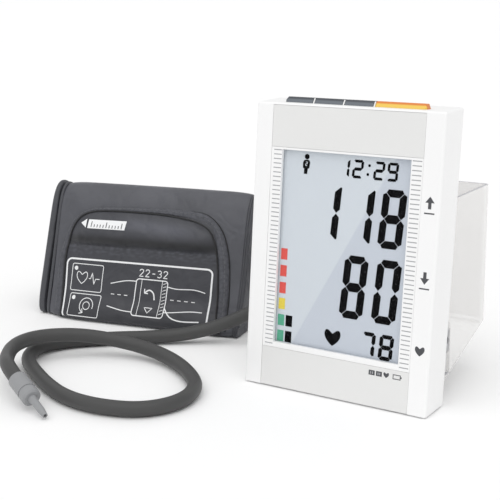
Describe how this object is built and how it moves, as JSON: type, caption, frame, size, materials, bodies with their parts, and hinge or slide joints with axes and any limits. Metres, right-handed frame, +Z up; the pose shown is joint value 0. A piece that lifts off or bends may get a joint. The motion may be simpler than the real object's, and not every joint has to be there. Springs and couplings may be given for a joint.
{
  "type": "desk blood pressure monitor",
  "caption": "Leaning display slab with four top keys and a clear cuff holder behind, beside its rolled dark arm cuff, coiled air hose and plug.",
  "frame": {"origin": "on the table under the monitor, on the flat underside of its stand foot", "axes": "+X to the right seen from the display's front, +Y to the back, +Z up"},
  "size_m": [0.3118, 0.2262, 0.1595],
  "materials": {
    "housing_white": "fine satin moulding",
    "face_grey": "fine matt moulding",
    "bezel_white": "satin with printed ticks",
    "lens_clear": "clear hard-coated",
    "lcd_film": "anti-glare film",
    "light_guide": "diffusing sheet",
    "frame_white": "plain moulding",
    "board_green": "solder mask",
    "chip_black": "moulded resin",
    "key_slate": "fine matt moulding",
    "key_amber": "translucent amber",
    "cell_wrap": "plain printed sleeve",
    "contact_nickel": "nickel plated",
    "motor_steel": "drawn can",
    "pump_black": "glass filled",
    "soft_rubber": "matt",
    "tube_silicone": "silicone",
    "socket_dark": "satin",
    "holder_clear": "frosted clear",
    "foot_white": "satin",
    "screw_steel": "zinc plated",
    "nylon_dark": "close-woven coated nylon",
    "binding_black": "woven tape",
    "bladder_rubber": "matt",
    "hose_grey": "smooth satin",
    "plug_grey": "satin"
  },
  "bodies": {
    "monitor": {"front_cover": "housing_white", "rear_cover": "housing_white", "upper_face_panel": "face_grey", "lower_face_panel": "face_grey", "display_bezel": "bezel_white", "display_window": "lens_clear", "lcd_panel": "lcd_film", "lcd_backlight": "light_guide", "lcd_frame": "frame_white", "main_board": "board_green", "board_chips": "chip_black", "buzzer": "chip_black", "pressure_sensor": "chip_black", "key_board": "board_green", "key_switches": "chip_black", "battery_tray": "frame_white", "batteries": "cell_wrap", "battery_contacts": "contact_nickel", "pump_motor": "motor_steel", "pump_sleeve": "soft_rubber", "pump_head": "pump_black", "air_manifold": "frame_white", "deflation_valve": "motor_steel", "air_tube": "tube_silicone", "air_socket": "socket_dark", "cuff_holder": "holder_clear", "stand_foot": "foot_white", "front_pads": "soft_rubber", "housing_screws": "screw_steel", "holder_screws": "screw_steel", "foot_screws": "screw_steel", "cuff_body": "nylon_dark", "cuff_bladder": "bladder_rubber", "cuff_roll_edges": "binding_black", "cuff_flap": "nylon_dark", "flap_binding": "binding_black", "hose_gland": "soft_rubber", "hose": "hose_grey", "plug_sleeve": "plug_grey", "plug_nozzle": "plug_grey"},
    "left_key_body": {"left_key": "key_slate"},
    "middle_key_body": {"middle_key": "key_slate"},
    "right_key_body": {"right_key": "key_slate"},
    "start_key_body": {"start_key": "key_amber"},
    "battery_door_body": {"battery_door": "housing_white"}
  },
  "joints": [
    {"name": "left_key_press", "type": "slide", "parent": "monitor", "child": "left_key_body", "axis": [0, -0.108, -0.9942], "range_m": [0, 0.001], "stiffness_N_per_m": 400, "springref_m": -0.001},
    {"name": "middle_key_press", "type": "slide", "parent": "monitor", "child": "middle_key_body", "axis": [0, -0.108, -0.9942], "range_m": [0, 0.001], "stiffness_N_per_m": 400, "springref_m": -0.001},
    {"name": "right_key_press", "type": "slide", "parent": "monitor", "child": "right_key_body", "axis": [0, -0.108, -0.9942], "range_m": [0, 0.001], "stiffness_N_per_m": 400, "springref_m": -0.001},
    {"name": "start_key_press", "type": "slide", "parent": "monitor", "child": "start_key_body", "axis": [0, -0.108, -0.9942], "range_m": [0, 0.001], "stiffness_N_per_m": 400, "springref_m": -0.001},
    {"name": "battery_door_slide", "type": "slide", "parent": "monitor", "child": "battery_door_body", "axis": [0, 0.108, 0.9942], "range_m": [0, 0.03]}
  ]
}
